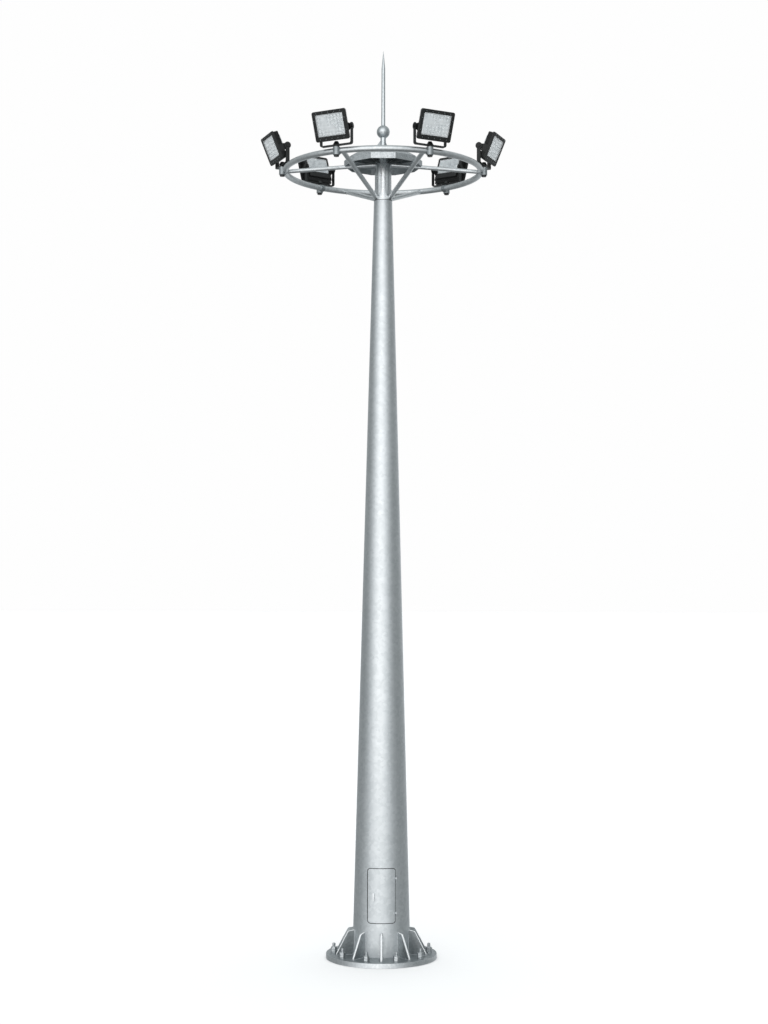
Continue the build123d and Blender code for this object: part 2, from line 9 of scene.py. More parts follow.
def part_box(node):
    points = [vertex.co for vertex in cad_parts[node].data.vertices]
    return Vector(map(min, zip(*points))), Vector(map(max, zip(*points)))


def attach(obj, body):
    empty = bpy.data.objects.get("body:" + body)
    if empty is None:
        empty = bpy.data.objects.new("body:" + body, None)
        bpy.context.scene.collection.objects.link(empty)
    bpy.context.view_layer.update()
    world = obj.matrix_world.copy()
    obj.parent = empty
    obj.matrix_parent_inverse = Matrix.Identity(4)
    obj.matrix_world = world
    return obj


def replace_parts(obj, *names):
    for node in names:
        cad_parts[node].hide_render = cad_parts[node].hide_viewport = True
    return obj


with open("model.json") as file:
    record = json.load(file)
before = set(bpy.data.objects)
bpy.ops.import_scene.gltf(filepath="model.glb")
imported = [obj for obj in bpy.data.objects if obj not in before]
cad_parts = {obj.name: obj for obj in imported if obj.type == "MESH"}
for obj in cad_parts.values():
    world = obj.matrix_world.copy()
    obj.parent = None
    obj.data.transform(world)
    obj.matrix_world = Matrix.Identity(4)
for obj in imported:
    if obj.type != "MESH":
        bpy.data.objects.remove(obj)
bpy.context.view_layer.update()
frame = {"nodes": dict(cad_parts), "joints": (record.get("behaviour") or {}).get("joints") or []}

# Looks of the high mast floodlight tower, in metres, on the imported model's own frame: +Z up, the origin
# under the base plate, the access door on the -Y side. Azimuths are counted from the door side towards +X.

joints = {joint["name"]: joint for joint in frame["joints"]}
lamp_numbers = range(1, 1 + sum(name.startswith("lamp_lens_") for name in frame["nodes"]))


# ---------------------------------------------------------------- node helper and colours
def node(tree, kind, sockets=None, stops=(), **settings):
    """Adds one node: its settings, a ramp's stops as pairs of place and hex colour, and for each socket a
    value, what feeds it, or a list of feeds."""
    made = tree.nodes.new(kind)
    for name, value in settings.items():
        setattr(made, name, value)
    while stops and len(made.color_ramp.elements) < len(stops):
        made.color_ramp.elements.new(0.5)
    for at, (place, code) in enumerate(stops):
        made.color_ramp.elements[at].position = place
        made.color_ramp.elements[at].color = linear(code)
    for name, value in (sockets or {}).items():
        for feed in value if isinstance(value, list) else [value]:
            if isinstance(feed, bpy.types.NodeSocket):
                tree.links.new(feed, made.inputs[name])
            else:
                made.inputs[name].default_value = feed
    return made


def linear(code):
    """An sRGB hex colour as linear red, green, blue and alpha."""
    parts = [int(code[at : at + 2], 16) / 255 for at in (1, 3, 5)]
    return (*(c / 12.92 if c <= 0.04045 else ((c + 0.055) / 1.055) ** 2.4 for c in parts), 1.0)


def blank_finish(name, **surface):
    """A new material, its tree and its surface shader, with what is the same all over set on the shader."""
    made = bpy.data.materials.new(name)
    made.use_nodes = True
    shader = made.node_tree.nodes["Principled BSDF"]
    for socket, value in surface.items():
        shader.inputs[socket.replace("_", " ")].default_value = value
    return made, made.node_tree, shader


def mottled(name, dark, pale, size, detail, sheen=None, **surface):
    """A new material mottled from a dark to a pale tone, in clouds of this size, and from one roughness to
    another where a sheen gives the two. Also its tree, its shader and the place it reads."""
    made, tree, shader = blank_finish(name, **surface)
    place = node(tree, "ShaderNodeTexCoord").outputs["Object"]
    mottle = node(tree, "ShaderNodeTexNoise", {"Vector": place, "Scale": 1 / size, "Detail": detail})
    tone = node(tree, "ShaderNodeValToRGB", {"Fac": mottle.outputs["Fac"]}, [(0.3, dark), (0.7, pale)])
    tree.links.new(tone.outputs["Color"], shader.inputs["Base Color"])
    if sheen:
        rough = node(tree, "ShaderNodeMapRange", {
            "Value": mottle.outputs["Fac"], "To Min": sheen[0], "To Max": sheen[1],
        })
        tree.links.new(rough.outputs[0], shader.inputs["Roughness"])
    return made, tree, shader, place


def grained(tree, shader, place, size, detail, strength, depth):
    """Gives a surface a fine relief: grains of this size, this deep at full strength."""
    grain = node(tree, "ShaderNodeTexNoise", {"Vector": place, "Scale": 1 / size, "Detail": detail})
    skin = node(tree, "ShaderNodeBump", {
        "Strength": strength, "Distance": depth, "Height": grain.outputs["Fac"],
    })
    tree.links.new(skin.outputs[0], shader.inputs["Normal"])


# ---------------------------------------------------------------- finishes
def hot_dip_galvanised(name, flake, dark, pale, smoothest, roughest, metal=1.0, dust=0.0):
    """Hot-dip galvanised steel: zinc that froze on the hot steel in flakes. Each flake has its own grey and
    its own sheen, clouds of thicker zinc lie over them, and the zinc ran down before it froze. Where it is
    dull from its own oxide, less of it shines like metal. Dust that rain splashes up makes the lowest
    metres rougher, most of all at the ground. The flakes are 10 to 20 mm across on real steel and are drawn
    up to 45 mm, so that they still show on the whole mast. The runs are 71 mm wide, the clouds 0.31 m."""
    flake_share, run_share, cloud_share = 0.34, 0.33, 0.33
    run_width, run_stretch, cloud_size = 1 / 14, 0.06, 0.3125
    splash_height, grain_size = 4.0, 0.012
    made, tree, shader = blank_finish(name, Metallic=metal)
    place = node(tree, "ShaderNodeTexCoord").outputs["Object"]
    flakes = node(tree, "ShaderNodeTexVoronoi", {"Vector": place, "Scale": 1 / flake})
    flake_tone = node(tree, "ShaderNodeSeparateColor", {"Color": flakes.outputs["Color"]}).outputs["Red"]
    drawn_down = node(tree, "ShaderNodeMapping", {"Vector": place, "Scale": (1.0, 1.0, run_stretch)})
    runs = node(tree, "ShaderNodeTexNoise", {
        "Vector": drawn_down.outputs[0], "Scale": 1 / run_width, "Detail": 3.0,
    })
    clouds = node(tree, "ShaderNodeTexNoise", {"Vector": place, "Scale": 1 / cloud_size, "Detail": 4.0})
    tone = 0.0
    for part, share in (
        (flake_tone, flake_share), (runs.outputs["Fac"], run_share), (clouds.outputs["Fac"], cloud_share),
    ):
        mixed = node(tree, "ShaderNodeMath", {0: part, 1: share, 2: tone}, operation="MULTIPLY_ADD")
        tone = mixed.outputs[0]
    grey = node(tree, "ShaderNodeValToRGB", {"Fac": tone}, [(0.25, dark), (0.75, pale)])
    tree.links.new(grey.outputs["Color"], shader.inputs["Base Color"])
    sheen = node(tree, "ShaderNodeMapRange", {"Value": tone, "To Min": roughest, "To Max": smoothest})
    height = node(tree, "ShaderNodeSeparateXYZ", {0: place}).outputs["Z"]
    splashed = node(tree, "ShaderNodeMapRange", {
        "Value": height, "From Min": 0.0, "From Max": splash_height, "To Min": dust, "To Max": 0.0,
    })
    rough = node(tree, "ShaderNodeMath", {0: sheen.outputs[0], 1: splashed.outputs[0]}, operation="ADD")
    tree.links.new(rough.outputs[0], shader.inputs["Roughness"])
    grained(tree, shader, place, grain_size, detail=2.0, strength=0.12, depth=0.001)
    return made


def powder_coat(name, low, high, roughest):
    """Black polyester powder coat, sprayed and baked: satin, dulled by dust in clouds of 91 mm, with a fine
    orange peel. The peel is about 1 mm across on the real part and is drawn at 6 mm, so that it still
    breaks up the highlights."""
    cloud_size, peel_size, sheen_spread = 1 / 11, 0.006, 0.14
    made, tree, shader, place = mottled(
        name, low, high, cloud_size, detail=4.0, sheen=(roughest - sheen_spread, roughest),
        Metallic=0.0, IOR=1.5,
    )
    grained(tree, shader, place, peel_size, detail=1.0, strength=0.25, depth=0.0008)
    return made


def extruded_aluminium(name, dark, pale):
    """Bare extruded aluminium, chalky with oxide: grey bloom in clouds of 62 mm, over a rough skin whose
    grain is well under 1 mm and is drawn at 4 mm, so that it shows."""
    cloud_size, grain_size = 0.0625, 0.004
    made, tree, shader, place = mottled(
        name, dark, pale, cloud_size, detail=5.0, Metallic=0.35, Roughness=0.6,
    )
    grained(tree, shader, place, grain_size, detail=2.0, strength=0.2, depth=0.0005)
    return made


def toughened_glass(name):
    """Clear toughened cover glass, float made: a thin film of dust, in clouds of 143 mm, keeps it milky and
    dulls its gloss."""
    surface = {"Metallic": 0.0, "IOR": 1.5, "Alpha": 0.3}
    return mottled(name, "#e0e4e6", "#f2f4f5", size=1 / 7, detail=3.0, sheen=(0.06, 0.22), **surface)[0]


def moulded_acrylic(name):
    """Injection-moulded clear acrylic optics over white light sources: bright, glossy and faintly cool,
    with flow clouds of 45 mm."""
    surface = {"Metallic": 0.0, "IOR": 1.49, "Roughness": 0.18}
    return mottled(name, "#e2e6e8", "#f6f8f9", size=1 / 22, detail=2.0, **surface)[0]


def solder_mask(name):
    """The light sources' circuit board: aluminium core under a white solder mask that has greyed, in clouds
    of 33 mm."""
    surface = {"Metallic": 0.0, "IOR": 1.5, "Roughness": 0.55}
    return mottled(name, "#b0b5b7", "#c4c8ca", size=1 / 30, detail=3.0, **surface)[0]


def sponge_rubber(name):
    """Black sponge rubber, extruded: matt and slightly open in its skin. Its cells are under 1 mm across
    and are drawn at 3 mm, so that they show."""
    surface = {"Metallic": 0.0, "IOR": 1.5, "Roughness": 0.85}
    return mottled(name, "#111213", "#1e2021", size=0.003, detail=2.0, **surface)[0]


# each zinc has its flake size, its darkest and palest grey, and its smoothest and roughest sheen
mast_zinc = hot_dip_galvanised("galvanised_plate_steel", 0.045, "#d4d8da", "#e5e8ea", 0.38, 0.44, dust=0.14)
tube_zinc = hot_dip_galvanised("galvanised_drawn_tube", 0.028, "#d6dadc", "#f0f2f3", 0.34, 0.44)
# a darker, duller zinc: the own tone of hinges, clamps, screws and the stem's gussets, and painted shade
# where it lies on the base plate's top and the gussets' flat sides
dull_zinc_and_painted_shade = hot_dip_galvanised("dull_grey_zinc_on_thick_plate", 0.03, "#9da2a4", "#b8bdbf", 0.42, 0.52)
# a grey of its own for the faces under the hood: zinc that rain never washes, and painted shade
sheltered_zinc_and_painted_shade = hot_dip_galvanised("grey_zinc_under_the_hood", 0.04, "#c4c9cb", "#d9dddf", 0.46, 0.56)
# dark zinc for the ribs under the hood: painted shade, for the shade the hood casts on them
rib_zinc_in_painted_shade = hot_dip_galvanised("dark_zinc_on_the_hood_ribs", 0.04, "#6b7072", "#848a8c", 0.46, 0.56)
rod_zinc = hot_dip_galvanised("galvanised_spun_ball_and_rod", 0.03, "#c6cbcd", "#dde1e3", 0.24, 0.34)
# pale, mostly matt zinc for the gussets' cut edges: the thicker matt zinc of flame-cut steel, and partly a
# painted highlight on edges that face out and up
cut_zinc_and_painted_highlight = hot_dip_galvanised(
    "matt_zinc_on_flame_cut_edges", 0.02, "#e6e9ea", "#f7f8f9", 0.5, 0.6, metal=0.15,
)
bolt_zinc = hot_dip_galvanised("spun_galvanised_fasteners", 0.02, "#b4b9bb", "#dfe2e4", 0.36, 0.5)
bright_zinc = hot_dip_galvanised("bright_zinc_plate", 0.03, "#e3e6e8", "#f6f8f9", 0.24, 0.34)
weld_zinc = hot_dip_galvanised("galvanised_weld_bead", 0.015, "#b3b8bb", "#d5d8da", 0.4, 0.55)
cast_black = powder_coat("black_powder_coat_on_casting", "#131414", "#1d1e1e", 0.56)
bar_black = powder_coat("black_powder_coat_on_flat_bar", "#151616", "#212323", 0.5)
bare_fins = extruded_aluminium("weathered_extruded_aluminium", "#d4d8da", "#f1f3f4")
cover_glass = toughened_glass("toughened_cover_glass")
optic = moulded_acrylic("moulded_acrylic_optics")
board = solder_mask("greyed_white_solder_mask")
# black rubber for the door's seal and the cap's bead, which also stand in for the shade at the door's gap
# and the cap's rim: painted shade
seal_and_shade_rubber = sponge_rubber("sponge_rubber_seal")


# ---------------------------------------------------------------- pieces
same_point = 2e-6
flat_turn = 0.8
eased_turn = 35.0


def mesh_of(name, form):
    """The mesh of a form that is built and can be let go."""
    mesh = bpy.data.meshes.new(name)
    form.to_mesh(mesh)
    form.free()
    return mesh


def finished(mesh, finishes):
    """Gives a mesh its finishes, in place of those it came with."""
    mesh.materials.clear()
    for finish in finishes:
        mesh.materials.append(finish)


def linked(name, mesh, body, finishes):
    """A finished piece: its mesh and finishes, and the body it moves with."""
    piece = bpy.data.objects.new(name, mesh)
    bpy.context.scene.collection.objects.link(piece)
    finished(mesh, finishes)
    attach(piece, body)
    return piece


def settled(name, mesh, modify):
    """What a mesh becomes under modifiers, as a plain mesh with none left on it."""
    draft = bpy.data.objects.new(name + "_draft", mesh)
    bpy.context.scene.collection.objects.link(draft)
    modify(draft)
    seen = draft.evaluated_get(bpy.context.evaluated_depsgraph_get())
    made = bpy.data.meshes.new_from_object(seen)
    made.name = name
    bpy.data.objects.remove(draft)
    return made


def smoothed(mesh, angle=40.0):
    """Smooth shading, with every turn over an angle kept crisp."""
    mesh.polygons.foreach_set("use_smooth", [True] * len(mesh.polygons))
    mesh.set_sharp_from_angle(angle=radians(angle))
    return mesh


def joined_facets(node_name):
    """A copy of a CAD node's mesh with its loose triangles joined into whole faces."""
    form = bmesh.new()
    form.from_mesh(frame["nodes"][node_name].data)
    bmesh.ops.remove_doubles(form, verts=form.verts, dist=same_point)
    bmesh.ops.dissolve_limit(form, angle_limit=radians(flat_turn), verts=form.verts, edges=form.edges)
    return mesh_of(node_name + "_form", form)


def eased(node_name, finishes, body, edge, choose=None):
    """Stands for a CAD node: the same form with its edges eased by a small round, as a ground edge is."""

    def ease(draft):
        """Adds a small round along the edges, with the flat faces left flat in the light."""
        bevel = draft.modifiers.new("eased edges", "BEVEL")
        bevel.width = edge
        bevel.segments = 2
        bevel.limit_method = "ANGLE"
        bevel.angle_limit = radians(eased_turn)
        flat = draft.modifiers.new("flat faces stay flat", "WEIGHTED_NORMAL")
        flat.keep_sharp = True

    mesh = settled(node_name + "_eased", smoothed(joined_facets(node_name)), ease)
    piece = linked(node_name + "_eased", mesh, body, finishes)
    if choose:
        for face in mesh.polygons:
            face.material_index = choose(face)
    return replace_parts(piece, node_name)


# ---------------------------------------------------------------- geometry node trees
def making(name, sizes, shares=None):
    """A new geometry tree with an input for each named size, the inputs themselves, and the shares of them:
    each a size times a factor."""
    tree = bpy.data.node_groups.new(name, "GeometryNodeTree")
    tree.interface.new_socket("Geometry", in_out="INPUT", socket_type="NodeSocketGeometry")
    for size, value in sizes.items():
        kind = "NodeSocketInt" if isinstance(value, int) else "NodeSocketFloat"
        tree.interface.new_socket(size, in_out="INPUT", socket_type=kind).default_value = value
    tree.interface.new_socket("Finish", in_out="INPUT", socket_type="NodeSocketMaterial")
    tree.interface.new_socket("Geometry", in_out="OUTPUT", socket_type="NodeSocketGeometry")
    size = node(tree, "NodeGroupInput").outputs
    share = {}
    for part, (whole, factor) in (shares or {}).items():
        taken = node(tree, "ShaderNodeMath", {0: size[whole], 1: factor}, operation="MULTIPLY")
        share[part] = taken.outputs[0]
    return tree, size, share


def made_real(tree, sizes, parts):
    """Ends a tree: its instances made real, their finish set and the result handed out."""
    real = node(tree, "GeometryNodeRealizeInstances", {"Geometry": parts})
    shaded = node(tree, "GeometryNodeSetMaterial", {
        "Geometry": real.outputs[0], "Material": sizes["Finish"],
    })
    node(tree, "NodeGroupOutput", {"Geometry": shaded.outputs[0]})
    return tree


def run_tree(tree, name, start, finish, **sizes):
    """The plain mesh that a geometry tree makes from a starting mesh or curve with these sizes."""

    def modify(draft):
        """Adds the tree with its sizes, each set by its socket's identifier."""
        maker = draft.modifiers.new(tree.name, "NODES")
        maker.node_group = tree
        for socket in tree.interface.items_tree:
            size = socket.name.replace(" ", "_").lower()
            if socket.in_out == "INPUT" and size in sizes:
                maker[socket.identifier] = sizes[size]
            elif socket.name == "Finish":
                maker[socket.identifier] = finish

    return settled(name, start, modify)


def optic_grid_tree():
    """Rows and columns of moulded optics: each a conical skirt with a low dome, on a flat plate."""
    dome_flatness = 0.35
    tree, size, share = making("optic_grid", {
        "Columns": 8, "Rows": 6, "Width": 0.4, "Height": 0.25, "Optic Radius": 0.021, "Optic Rise": 0.012,
    }, {"Dome Radius": ("Optic Radius", 0.8), "Skirt Height": ("Optic Rise", 0.6)})
    spots = node(tree, "GeometryNodeMeshGrid", {
        "Size X": size["Width"], "Size Y": size["Height"],
        "Vertices X": size["Columns"], "Vertices Y": size["Rows"],
    })
    skirt = node(tree, "GeometryNodeMeshCone", {
        "Vertices": 10, "Radius Top": share["Dome Radius"], "Radius Bottom": size["Optic Radius"],
        "Depth": share["Skirt Height"],
    }, fill_type="NONE")
    dome = node(tree, "GeometryNodeMeshUVSphere", {
        "Segments": 10, "Rings": 4, "Radius": share["Dome Radius"],
    })
    rise = node(tree, "ShaderNodeCombineXYZ", {"Z": share["Skirt Height"]})
    lifted = node(tree, "GeometryNodeTransform", {
        "Geometry": dome.outputs["Mesh"], "Translation": rise.outputs[0],
        "Scale": (1.0, 1.0, dome_flatness),
    })
    one = node(tree, "GeometryNodeJoinGeometry", {"Geometry": [skirt.outputs["Mesh"], lifted.outputs[0]]})
    smooth = node(tree, "GeometryNodeSetShadeSmooth", {"Geometry": one.outputs[0]})
    grid = node(tree, "GeometryNodeInstanceOnPoints", {
        "Points": spots.outputs["Mesh"], "Instance": smooth.outputs[0],
    })
    return made_real(tree, size, grid.outputs[0])


def cooling_rib_tree():
    """Cooling ribs up both sides of a housing: thin blades at an even pitch, half sunk in the wall."""
    tree, size, share = making("cooling_ribs", {
        "Count": 12, "Pitch": 0.014, "Half Width": 0.235, "Reach": 0.012, "Blade": 0.004, "Length": 0.07,
    }, {"Left": ("Half Width", -1.0), "Right": ("Half Width", 1.0), "Blade Width": ("Reach", 2.0)})
    rows = []
    for side in ("Left", "Right"):
        first = node(tree, "ShaderNodeCombineXYZ", {"X": share[side]})
        step = node(tree, "ShaderNodeCombineXYZ", {"Y": size["Pitch"]})
        line = node(tree, "GeometryNodeMeshLine", {
            "Count": size["Count"], "Start Location": first.outputs[0], "Offset": step.outputs[0],
        })
        measures = node(tree, "ShaderNodeCombineXYZ", {
            "X": share["Blade Width"], "Y": size["Blade"], "Z": size["Length"],
        })
        blade = node(tree, "GeometryNodeMeshCube", {"Size": measures.outputs[0]})
        row = node(tree, "GeometryNodeInstanceOnPoints", {
            "Points": line.outputs["Mesh"], "Instance": blade.outputs["Mesh"],
        })
        rows.append(row.outputs[0])
    both = node(tree, "GeometryNodeJoinGeometry", {"Geometry": rows})
    return made_real(tree, size, both.outputs[0])


def button_tree():
    """Low round heads at given points: a chamfered rim, a flat top and a sunk socket."""
    tree, size, share = making("button_heads", {"Head Radius": 0.007, "Head Rise": 0.004}, {
        "Flat Radius": ("Head Radius", 0.78), "Socket Radius": ("Head Radius", 0.4),
        "Socket Depth": ("Head Rise", 0.55), "Socket Level": ("Head Rise", 0.46),
    })
    body = node(tree, "GeometryNodeMeshCone", {
        "Vertices": 20, "Radius Bottom": size["Head Radius"], "Radius Top": share["Flat Radius"],
        "Depth": size["Head Rise"],
    })
    socket = node(tree, "GeometryNodeMeshCone", {
        "Vertices": 6, "Radius Bottom": 0.0, "Radius Top": share["Socket Radius"],
        "Depth": share["Socket Depth"],
    }, fill_type="NONE")
    level = node(tree, "ShaderNodeCombineXYZ", {"Z": share["Socket Level"]})
    sunk = node(tree, "GeometryNodeTransform", {
        "Geometry": socket.outputs["Mesh"], "Translation": level.outputs[0],
    })
    one = node(tree, "GeometryNodeJoinGeometry", {"Geometry": [body.outputs["Mesh"], sunk.outputs[0]]})
    heads = node(tree, "GeometryNodeInstanceOnPoints", {
        "Points": size["Geometry"], "Instance": one.outputs[0],
    })
    return made_real(tree, size, heads.outputs[0])


def holding_down_bolt_tree():
    """Holding-down bolts on a circle: a thick washer, two chamfered hexagon nuts and a threaded end."""
    end_flatness = 0.5
    tree, size, share = making("holding_down_bolts", {
        "Count": 10, "Circle Radius": 0.725, "Washer Radius": 0.052, "Washer Thickness": 0.009,
        "Nut Radius": 0.0485, "Nut Height": 0.038, "Bolt Radius": 0.024, "Bolt Height": 0.15,
        "Thread Pitch": 0.005,
    }, {
        "Chamfer": ("Nut Height", 0.14), "Flank": ("Nut Height", 0.72), "Drawn In": ("Nut Radius", 0.9),
        "Core": ("Bolt Radius", 0.93), "Ridge": ("Thread Pitch", 0.34),
    })
    circle = node(tree, "GeometryNodeMeshCircle", {
        "Vertices": size["Count"], "Radius": size["Circle Radius"],
    })
    full, drawn_in, core = size["Nut Radius"], share["Drawn In"], share["Core"]
    nut = [
        (drawn_in, full, share["Chamfer"], 6),
        (full, full, share["Flank"], 6),
        (full, drawn_in, share["Chamfer"], 6),
    ]
    washer = [(size["Washer Radius"], size["Washer Radius"], size["Washer Thickness"], 32)]
    parts = []
    foot = 0.0
    for radius_foot, radius_head, height, sides in washer + nut + nut:
        turned = node(tree, "GeometryNodeMeshCone", {
            "Vertices": sides, "Radius Bottom": radius_foot, "Radius Top": radius_head, "Depth": height,
        })
        rise = node(tree, "ShaderNodeCombineXYZ", {"Z": foot})
        stood = node(tree, "GeometryNodeTransform", {
            "Geometry": turned.outputs["Mesh"], "Translation": rise.outputs[0],
        })
        parts.append(stood.outputs[0])
        foot = node(tree, "ShaderNodeMath", {0: foot, 1: height}, operation="ADD").outputs[0]
    end_rise = node(tree, "ShaderNodeMath", {0: core, 1: end_flatness}, operation="MULTIPLY")
    shank = node(tree, "ShaderNodeMath", {
        0: size["Bolt Height"], 1: end_rise.outputs[0],
    }, operation="SUBTRACT")
    rod = node(tree, "GeometryNodeMeshCone", {
        "Vertices": 24, "Radius Bottom": core, "Radius Top": core, "Depth": shank.outputs[0],
    })
    parts.append(rod.outputs["Mesh"])
    dome = node(tree, "GeometryNodeMeshUVSphere", {"Segments": 24, "Rings": 12, "Radius": core})
    top = node(tree, "ShaderNodeCombineXYZ", {"Z": shank.outputs[0]})
    rounded = node(tree, "GeometryNodeTransform", {
        "Geometry": dome.outputs["Mesh"], "Translation": top.outputs[0], "Scale": (1.0, 1.0, end_flatness),
    })
    parts.append(rounded.outputs[0])
    turns = node(tree, "ShaderNodeMath", {
        0: shank.outputs[0], 1: size["Thread Pitch"],
    }, operation="DIVIDE")
    helix = node(tree, "GeometryNodeCurveSpiral", {
        "Resolution": 20, "Rotations": turns.outputs[0], "Start Radius": core, "End Radius": core,
        "Height": shank.outputs[0],
    })
    ridge = node(tree, "GeometryNodeCurvePrimitiveCircle", {"Resolution": 4, "Radius": share["Ridge"]})
    thread = node(tree, "GeometryNodeCurveToMesh", {
        "Curve": helix.outputs[0], "Profile Curve": ridge.outputs["Curve"], "Fill Caps": True,
    })
    parts.append(thread.outputs[0])
    one = node(tree, "GeometryNodeJoinGeometry", {"Geometry": parts})
    ring = node(tree, "GeometryNodeInstanceOnPoints", {
        "Points": circle.outputs[0], "Instance": one.outputs[0],
    })
    return made_real(tree, size, ring.outputs[0])


def weld_bead_tree():
    """A fillet weld along edges: a round bead whose ripples follow one another like laid coins. Its rings
    lie half a ripple apart, and every second one swells."""
    narrow, swelling = 0.85, 0.22
    sizes = {"Bead Radius": 0.006, "Ripple": 0.012}
    tree, size, share = making("weld_bead", sizes, {"Ring Step": ("Ripple", 0.5)})
    seams = node(tree, "GeometryNodeMeshToCurve", {"Mesh": size["Geometry"]})
    fine = node(tree, "GeometryNodeResampleCurve", {"Curve": seams.outputs[0]}, mode="LENGTH")
    tree.links.new(share["Ring Step"], fine.inputs["Length"])
    odd = node(tree, "ShaderNodeMath", {
        0: node(tree, "GeometryNodeInputIndex").outputs[0], 1: 2.0,
    }, operation="MODULO")
    swell = node(tree, "ShaderNodeMath", {
        0: odd.outputs[0], 1: swelling, 2: narrow,
    }, operation="MULTIPLY_ADD")
    section = node(tree, "GeometryNodeCurvePrimitiveCircle", {
        "Resolution": 6, "Radius": size["Bead Radius"],
    })
    bead = node(tree, "GeometryNodeCurveToMesh", {
        "Curve": fine.outputs[0], "Profile Curve": section.outputs["Curve"], "Scale": swell.outputs[0],
        "Fill Caps": True,
    })
    smooth = node(tree, "GeometryNodeSetShadeSmooth", {"Geometry": bead.outputs[0]})
    return made_real(tree, size, smooth.outputs[0])


# ---------------------------------------------------------------- places read from the CAD
def spot(radius, azimuth, height=0.0):
    """A place at a radius from the mast's axis."""
    angle = radians(azimuth)
    return Vector((radius * sin(angle), -radius * cos(angle), height))


plate_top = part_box("base_plate")[1].z
foot_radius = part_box("shaft_foot")[1].x
cap_low, cap_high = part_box("shaft_cap")
tube_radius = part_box("head_tube")[1].x
ring_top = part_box("lamp_ring")[1].z
clamp_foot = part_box("lamp_clamps")[0].z
stem_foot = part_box("rod_stem")[0].z
bolt_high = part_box("anchor_bolts")[1]
door_low, door_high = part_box("door_panel")


def mast_radius(height):
    """The mast's outer radius, a straight taper from the plate to the cap."""
    share = (height - plate_top) / (cap_low.z - plate_top)
    return foot_radius + share * (cap_high.x - foot_radius)


def off_axis(place):
    """How far a place is from the mast's axis."""
    return sqrt(place.x ** 2 + place.y ** 2)


def extent(node_name, place):
    """The lowest and highest corner of a CAD node in a frame of its own."""
    back = place.inverted()
    points = [back @ corner.co for corner in frame["nodes"][node_name].data.vertices]
    low = Vector([min(point[axis] for point in points) for axis in range(3)])
    high = Vector([max(point[axis] for point in points) for axis in range(3)])
    return low, high


def lamp_place(number):
    """A lamp's own frame: in the middle of its glass, x across, y up along the glass, z out of the lamp."""
    hinge = joints[f"lamp_{number}_tilt"]
    across = Vector(hinge["axis"]).normalized()
    glass = frame["nodes"][f"lamp_lens_{number}"].data
    out = max(glass.polygons, key=lambda face: face.area).normal.copy()
    if out.x * across.y - out.y * across.x < 0:
        out.negate()
    up = out.cross(across).normalized()
    place = Matrix((across, up, out)).transposed().to_4x4()
    low, high = extent(f"lamp_lens_{number}", place)
    place.translation = place @ Vector(((low.x + high.x) / 2, (low.y + high.y) / 2, high.z))
    return place


# ---------------------------------------------------------------- mast, base and head
stem_radius = 0.042
foot_nut_height = 0.023
boss_foot = clamp_foot + foot_nut_height
# how close to a level or a radius a face or a corner lies to count as on it
near = 0.001
# how much of a face's normal has to point up, in or down under the hood, and out or up on a gusset
looks_up = 0.7
looks_in = -0.3
looks_out = 0.5

finishes_of_nodes = {
    "shaft_foot": mast_zinc, "shaft_upper": mast_zinc, "shaft_cap": mast_zinc, "door_frame": mast_zinc,
    "lamp_ring": tube_zinc, "ring_struts": tube_zinc, "ring_spokes": tube_zinc,
    "head_tube": bright_zinc, "lightning_rod": rod_zinc,
}
for name, finish in finishes_of_nodes.items():
    finished(frame["nodes"][name].data, [finish])


def is_top_in_painted_shade(face):
    """Whether a face of the base plate looks up. These faces get a darker, duller zinc than the plate's
    paler sides: painted shade on the top.
    """
    return int(face.normal.z > looks_up)


def is_sheltered_in_painted_shade(face):
    """Whether a face of the hood looks down or in towards the mast, where rain never washes it. These
    faces get a grey of their own, set to draw the shade under the hood: painted shade.
    """
    outward = Vector((face.center.x, face.center.y, 0.0)).normalized()
    return int(face.normal.z < looks_in or outward.dot(face.normal) < looks_in)


def is_cut_edge(face):
    """Whether a gusset's face is its cut edge, which faces out or up, and not one of its two flat sides.
    The cut edges get a pale zinc, partly a painted highlight, and the flat sides a darker one, painted
    shade in the bays between the gussets.
    """
    outward = Vector((face.center.x, face.center.y, 0.0)).normalized()
    return int(Vector((outward.x, outward.y, 1.0)).dot(face.normal) > looks_out)


def is_stem_gusset(face):
    """Whether a face belongs to one of the flat gussets round the stem's foot."""
    return int(off_axis(face.center) > stem_radius + near)


def is_blacked(face):
    """Whether a face of a clamp lies above its boss, on the washer and top nut, or under it, on the nut."""
    return int(face.center.z > ring_top + near or face.center.z < boss_foot - near / 2)


# the base plate's top in darker zinc and its sides in paler zinc: painted shade on the top
eased("base_plate", [tube_zinc, dull_zinc_and_painted_shade], "mast", edge=0.002, choose=is_top_in_painted_shade)
# the hood's faces that look down or in get their own grey: painted shade under the hood
eased(
    "hood_pan", [bolt_zinc, sheltered_zinc_and_painted_shade], "mast", edge=0.002, choose=is_sheltered_in_painted_shade,
)
# the ribs under the hood are painted dark for the shade they lie in
eased("hood_ribs", [rib_zinc_in_painted_shade], "mast", edge=0.0012)
# the gussets' flat sides get darker zinc, painted shade in the bays, and their cut edges pale zinc, partly
# a painted highlight
eased("base_gussets", [dull_zinc_and_painted_shade, cut_zinc_and_painted_highlight], "mast", edge=0.003, choose=is_cut_edge)
eased("rod_stem", [rod_zinc, dull_zinc_and_painted_shade], "mast", edge=0.002, choose=is_stem_gusset)
eased("door_panel", [mast_zinc], "door", edge=0.0015)
eased("door_hinges", [dull_zinc_and_painted_shade], "mast", edge=0.001)
eased("door_lever", [tube_zinc], "lever", edge=0.002)

